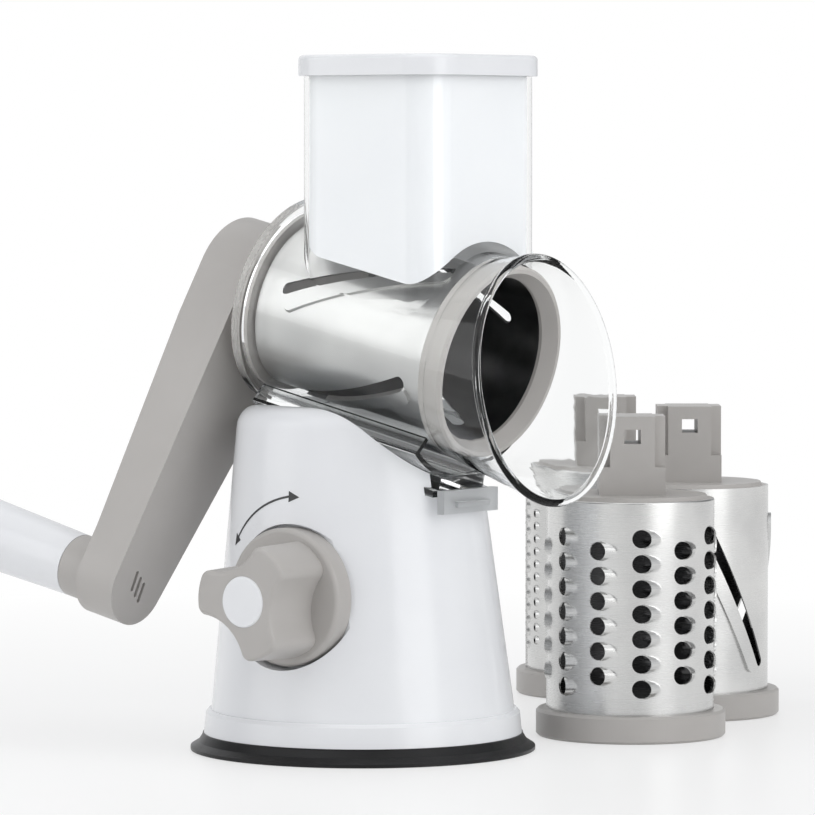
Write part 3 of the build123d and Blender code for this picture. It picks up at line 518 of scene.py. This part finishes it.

# %% [markdown]
# ## The knob as it was left
# The photograph shows the knob's three lobes turned a few degrees past the frame's rest position.
# A copy of its mesh is turned about the shaft, rides on the same body, and stands for the knob, and the CAD
# knob is hidden. A CAD object may not be turned, and its mesh may not be changed.

# %% Turned knob
KNOB_X, KNOB_Z = 3.9, 67.2  # mm, the shaft's place
KNOB_PAST = radians(8)
to_shaft = Matrix.Translation(Vector((KNOB_X, 0, KNOB_Z)) * MM)
turned_knob = bpy.data.objects.new("turned_knob", nodes["lock_knob"].data.copy())
turned_knob.data.transform(to_shaft @ Matrix.Rotation(KNOB_PAST, 4, "Y") @ to_shaft.inverted())
scene.collection.objects.link(turned_knob)
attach(turned_knob, "lock")
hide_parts("lock_knob")
print("turned the knob by", round(degrees(KNOB_PAST)), "degrees")

# %% [markdown]
# ## The arrow above the knob
# A thin printed arrow with two heads shows which way the knob turns. It could be a mask in the
# white plastic's shader, but a mask that bends round a cone is hard to read and to change. Print
# has no thickness to speak of, so it is a flat band of mesh laid on the base's cone, a tenth of a
# millimetre proud of it, with sharp edges at any distance.

# %% The base's side as a surface
BASE_FOOT_Z, BASE_RISE = 17.0, 127.0  # mm
BASE_R_LOW, BASE_R_TOP = 63.3, 48.7
BASE_LEAN = 3.8  # how far the cone's middle moves towards -X on its way up
PRINT_PROUD = 0.1


def on_base(x, z):
    """Point of the base's side towards -Y, in metres, from x and z in millimetres."""
    up = (z - BASE_FOOT_Z) / BASE_RISE
    radius = BASE_R_LOW + (BASE_R_TOP - BASE_R_LOW) * up + PRINT_PROUD
    return Vector((x, -sqrt(radius ** 2 - (x + BASE_LEAN * up) ** 2), z)) * MM


def around_knob(radius, angle):
    """Point of the base's side at this distance and angle in degrees from the knob's shaft."""
    return on_base(KNOB_X + radius * cos(radians(angle)), KNOB_Z + radius * sin(radians(angle)))


print("right above the shaft, the base's side is at", [round(v, 4) for v in around_knob(38, 90)])

# %% Arrow
ARROW_FROM, ARROW_TO = 143.0, 92.0  # degrees round the knob
ARROW_R, ARROW_RISE = 38.3, 2.6  # mm, radius, and how far it drifts outwards
LINE_W = 0.9  # mm
HEAD_LEN, HEAD_W = 7.0, 4.6  # degrees, mm
STEPS = 28
band = bmesh.new()
rows = []
for i in range(STEPS + 1):
    share = i / STEPS
    angle = ARROW_FROM + (ARROW_TO - ARROW_FROM) * share
    middle = ARROW_R + ARROW_RISE * share ** 2
    rows.append([band.verts.new(around_knob(middle + side * LINE_W / 2, angle)) for side in (-1, 1)])
for low, high in zip(rows, rows[1:]):
    band.faces.new((low[0], low[1], high[1], high[0]))
for angle, share, way in ((ARROW_FROM, 0, 1), (ARROW_TO, 1, -1)):
    middle = ARROW_R + ARROW_RISE * share ** 2
    tip = band.verts.new(around_knob(middle, angle + way * HEAD_LEN))
    corners = [band.verts.new(around_knob(middle + side * HEAD_W / 2, angle)) for side in (-1, 1)]
    band.faces.new((tip, corners[0], corners[1]))
bmesh.ops.recalc_face_normals(band, faces=band.faces)
arrow = bpy.data.objects.new("turn_arrow", bpy.data.meshes.new("turn_arrow"))
band.to_mesh(arrow.data)
band.free()
scene.collection.objects.link(arrow)
print("arrow:", len(arrow.data.polygons), "faces")

# %% Ink of the arrow
INK_TONES = ((0.03, 0.03, 0.032), (0.05, 0.05, 0.052))
INK_CLOUDS = 60
print_ink, tree, shader = new_finish("printed_ink")
two_tones(tree, object_noise(tree, INK_CLOUDS), INK_TONES, shader.inputs["Base Color"])
arrow.data.materials.append(print_ink)
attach(arrow, "base")
print("made", print_ink.name)

# %% [markdown]
# ## The two grating drums
# A grating hole is punched round, and the sheet beside it is pressed out into a hood that runs
# back into the shell. A Boolean of leaning cylinders gives a hard crease there, which pressed
# sheet hasn't. So each hole gets its own patch of sheet: rings of points run from the round hole
# out to the patch's four straight sides. A leaning cylinder gives them their height, and it meets
# the sheet in a small soft bend.

# %% Height of the hood beside a hole
SHELL_R, SHEET = 35.5, 0.9  # mm, the shell's outer radius and its thickness
HOOD_SLOPE = radians(34)
HOOD_R, HOOD_SINK, HOOD_START = 1.09, 0.28, 0.26  # as shares of the hole's radius
HOOD_BEND = 0.035  # how softly the hood meets the sheet, also a share
RISE_FROM, RISE_OVER = 0.1, 0.45  # also shares: where the hood's mouth leaves the sheet
PATCH_END, FADE_LEN = 0.98, 0.12  # shares of half a patch, over which any height is gone
LEAST_SQUARE = 0.01  # mm2, keeps the roof's root real beside the cylinder


def smooth_step(share):
    """Runs from 0 to 1 with no kink at either end."""
    share = min(max(share, 0), 1)
    return share * share * (3 - 2 * share)


def hood_height(aside, along, hole, half_patch):
    """How far the sheet is pressed out at a point beside a hole of this radius, in mm."""
    roof = sqrt(max((HOOD_R * hole) ** 2 - along ** 2, LEAST_SQUARE)) / cos(HOOD_SLOPE)
    axis_depth = HOOD_SINK * hole + tan(HOOD_SLOPE) * (aside - HOOD_START * hole)
    over = roof - (axis_depth - aside ** 2 / (2 * SHELL_R))
    pressed = (over + sqrt(over ** 2 + (HOOD_BEND * hole) ** 2)) / 2
    mouth = smooth_step((aside / hole - RISE_FROM) / RISE_OVER)
    return pressed * mouth * smooth_step((PATCH_END - aside / half_patch) / FADE_LEN)


COARSE_HOLE, FINE_HOLE = 3.85, 1.95  # mm, radius
for hole in (COARSE_HOLE, FINE_HOLE):
    print("the hood of a hole of", hole, "mm is", round(hood_height(hole, 0, hole, 3 * hole), 2), "mm high")

# %% [markdown]
# Points and faces are collected in a small class, with a normal for each point. The normals come
# from the slope of the hood, and not from the faces, so that a curved sheet looks smooth right up
# to the sharp rim of its hole.


# %% Points on a standing shell
class ShellMesh:
    """Collects points with their normals, and the faces between them, round an upright axis."""

    def __init__(self, middle):
        self.middle = middle
        self.points, self.normals, self.faces = [], [], []

    def corner(self, angle, z, radius, normal):
        """A point in cylinder coordinates, and a normal given outward, sideways and upward."""
        out = Vector((cos(angle), sin(angle), 0))
        side = Vector((-sin(angle), cos(angle), 0))
        place = (Vector((self.middle[0], self.middle[1], z)) + out * radius) * MM
        return place, (out * normal[0] + side * normal[1] + Vector((0, 0, normal[2]))).normalized()

    def add_grid(self, rows, closed=False):
        """Quads between rows of corners, turned the way that their normals look."""
        start, width = len(self.points), len(rows[0])
        for row in rows:
            for place, normal in row:
                self.points.append(place)
                self.normals.append(normal)
        quads = []
        for i in range(len(rows) - 1):
            for k in range(width if closed else width - 1):
                a, b = start + i * width + k, start + i * width + (k + 1) % width
                quads.append((a, b, b + width, a + width))
        a, b, c, _ = quads[0]
        across = (self.points[b] - self.points[a]).cross(self.points[c] - self.points[b])
        if across.dot(self.normals[a]) < 0:
            quads = [quad[::-1] for quad in quads]
        self.faces += quads

    def finish(self, name):
        """Makes the object, and gives its smooth faces the collected normals."""
        thing = bpy.data.objects.new(name, bpy.data.meshes.new(name))
        thing.data.from_pydata(self.points, [], self.faces)
        thing.data.polygons.foreach_set("use_smooth", [True] * len(self.faces))
        thing.data.normals_split_custom_set_from_vertices(self.normals)
        scene.collection.objects.link(thing)
        return thing


print("a shell's points are counted round an upright axis, in mm, and kept in metres")

# %% [markdown]
# A patch has an outer and an inner side and the punched rim between them. The inner side follows
# the outer at the sheet's thickness. As many steps go round the hole as round the patch's four
# sides, so every ring has as many points, and patches in a column meet point to point.

# %% One hole with its hood
INNER_RINGS = 3
RING_EASE = 1.2  # above 1, rings stand closer together near the hole
PROBE = 0.02  # mm, step for measuring the slope


def patch_edge(half_wide, half_high, sides):
    """Points round a patch from its lower right corner; sides counts the steps of a short side."""
    right = [(half_wide, -half_high + 2 * half_high * k / sides) for k in range(sides)]
    top = [(half_wide - half_wide * k / sides, half_high) for k in range(2 * sides)]
    left = [(-half_wide, half_high - 2 * half_high * k / sides) for k in range(sides)]
    bottom = [(-half_wide + half_wide * k / sides, -half_high) for k in range(2 * sides)]
    return right + top + left + bottom


def add_hole(mesh, angle, z, hole, half_wide, half_high, sides, rings):
    """The patch of sheet round one hole; rings counts the outer side's steps."""
    edge = patch_edge(half_wide, half_high, sides)
    # a short side takes a sixth of the turn, so it starts 30 degrees before the hole's right end
    turns = [2 * pi * k / len(edge) - pi / 6 for k in range(len(edge))]

    def ring(share, depth, way):
        """Points at this share of the way out; way is 1 on the outer side and -1 on the inner."""
        row = []
        for turn, (far_aside, far_along) in zip(turns, edge):
            aside = (1 - share) * hole * cos(turn) + share * far_aside
            along = (1 - share) * hole * sin(turn) + share * far_along
            height = hood_height(aside, along, hole, half_wide)
            slope_aside = (hood_height(aside + PROBE, along, hole, half_wide) - height) / PROBE
            slope_along = (hood_height(aside, along + PROBE, hole, half_wide) - height) / PROBE
            normal = (way, -way * slope_aside, -way * slope_along)
            row.append(mesh.corner(angle + aside / SHELL_R, z + along, SHELL_R + height - depth, normal))
        return row

    mesh.add_grid([ring((j / rings) ** RING_EASE, 0, 1) for j in range(rings + 1)], closed=True)
    mesh.add_grid([ring(j / INNER_RINGS, SHEET, -1) for j in range(INNER_RINGS + 1)], closed=True)
    rim = []
    for depth in (0, SHEET):
        rim.append([])
        for turn, (place, _) in zip(turns, ring(0, depth, 1)):
            inward = mesh.corner(angle + hole * cos(turn) / SHELL_R, z, 0, (0, -cos(turn), -sin(turn)))[1]
            rim[-1].append((place, inward))
    mesh.add_grid(rim, closed=True)


trial = ShellMesh((0, 0))
add_hole(trial, 0, 0, FINE_HOLE, 3 * FINE_HOLE, 1.5 * FINE_HOLE, sides=4, rings=8)
print("one fine hole takes", len(trial.faces), "faces")

# %% [markdown]
# Below and above the holes the sheet is plain, and its upper edge is rolled in over the end
# plate. The sheet's two ends meet in a lap that runs from the collar to the top, with a step on
# one side and a ramp on the other.

# %% Plain sheet above and below the holes, and the lap seam
SHEET_LOW, COLLAR_TOP, SHEET_TOP = 7.5, 11.5, 101.5  # mm above the table
# the rounded upper edge: mm down from the top, mm in from the outside, degrees that it looks up
TOP_ROUND = ((0.8, 0, 0), (0.4, 0.1, 25), (0.15, 0.3, 50), (0, 0.6, 80), (0, SHEET, 90))
BAND_STEPS = 8
SEAM_RISE = 0.8  # mm
SEAM_SAG = 0.9  # the lap's middle, as a share of its rise
SEAM_DIP = 0.03  # mm that the ramp's foot lies under the surface
SEAM_SINK = 1  # mm that the lap runs down into the collar


def add_band(mesh, angle, half_wide, low, high, is_top):
    """Plain sheet over one column's width."""
    outside = [(low, SHELL_R, 0), (high, SHELL_R, 0)]
    if is_top:
        outside = outside[:1] + [(high - down, SHELL_R - inward, tip) for down, inward, tip in TOP_ROUND]
    turns = [angle + half_wide / SHELL_R * (2 * k / BAND_STEPS - 1) for k in range(BAND_STEPS + 1)]
    rows = []
    for z, radius, tip in outside:
        normal = (cos(radians(tip)), 0, sin(radians(tip)))
        rows.append([mesh.corner(turn, z, radius, normal) for turn in turns])
    mesh.add_grid(rows)
    inner_r = SHELL_R - SHEET
    mesh.add_grid([[mesh.corner(turn, z, inner_r, (-1, 0, 0)) for turn in turns] for z in (low, high)])


def add_seam(mesh, angle, half_wide):
    """The rolled sheet's end, lapped over its start: a step on one side, a ramp on the other."""
    low, high = COLLAR_TOP - SEAM_SINK, SHEET_TOP - TOP_ROUND[0][0]
    mid_sheet = SHELL_R - SHEET / 2
    lap = [
        (angle - half_wide, SHELL_R + SEAM_RISE),
        (angle, SHELL_R + SEAM_RISE * SEAM_SAG),
        (angle + half_wide, SHELL_R - SEAM_DIP),
    ]
    face = [[mesh.corner(turn, z, radius, (1, 0, 0)) for turn, radius in lap] for z in (low, high)]
    step = [[mesh.corner(lap[0][0], z, radius, (0, -1, 0)) for radius in (mid_sheet, lap[0][1])]
            for z in (low, high)]
    lid = [[mesh.corner(turn, high, mid_sheet, (0, 0, 1)) for turn, _ in lap],
           [mesh.corner(turn, high, radius, (0, 0, 1)) for turn, radius in lap]]
    for grid in (face, step, lid):
        mesh.add_grid(grid)


print("the sheet stands", SHEET_TOP - COLLAR_TOP, "mm out of its collar")

# %% [markdown]
# Both drums are the same build with other numbers: columns of holes on the whole way round,
# where every second column starts half a pitch higher and has one hole less. The places are the
# solid's, so that a hole in the picture is a hole in the part.

# %% Both grating shells
SPARE_TURN = -52.7  # degrees, how the drums were put down


def grating_shell(kind, columns, rows, pitch, first, phase, hole, sides, rings, seam_at, seam_half):
    """A whole shell; first is the lowest hole's height, phase and seam_at are degrees round it."""
    low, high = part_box(f"spare_{kind}_shell")
    mesh = ShellMesh(((low.x + high.x) / 2 / MM, (low.y + high.y) / 2 / MM))
    half_wide, half_high = pi * SHELL_R / columns, pitch / 2
    for column in range(columns):
        # the drum stands on its collar, so its angles run the other way round
        angle = radians(SPARE_TURN - phase - column * 360 / columns)
        odd = column % 2
        bottom = first + pitch * odd / 2
        for row in range(rows - odd):
            add_hole(mesh, angle, bottom + pitch * row, hole, half_wide, half_high, sides, rings)
        add_band(mesh, angle, half_wide, SHEET_LOW, bottom - half_high, False)
        add_band(mesh, angle, half_wide, bottom + pitch * (rows - odd - 1) + half_high, SHEET_TOP, True)
    add_seam(mesh, radians(SPARE_TURN - seam_at), radians(seam_half))
    shell = mesh.finish(f"{kind}_grating_shell")
    shell.data.materials.append(brushed_steel[f"spare_{kind}"])
    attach(shell, f"{kind}_drum")
    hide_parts(f"spare_{kind}_shell")
    print(shell.name, "has", len(mesh.faces), "faces")


grating_shell("coarse", columns=12, rows=7, pitch=10.57, first=22.8, phase=-4.6, hole=COARSE_HOLE,
              sides=10, rings=13, seam_at=96.6, seam_half=4.3)
grating_shell("fine", columns=20, rows=12, pitch=5.8, first=22.5, phase=10.5, hole=FINE_HOLE,
              sides=4, rings=8, seam_at=89.6, seam_half=3.4)
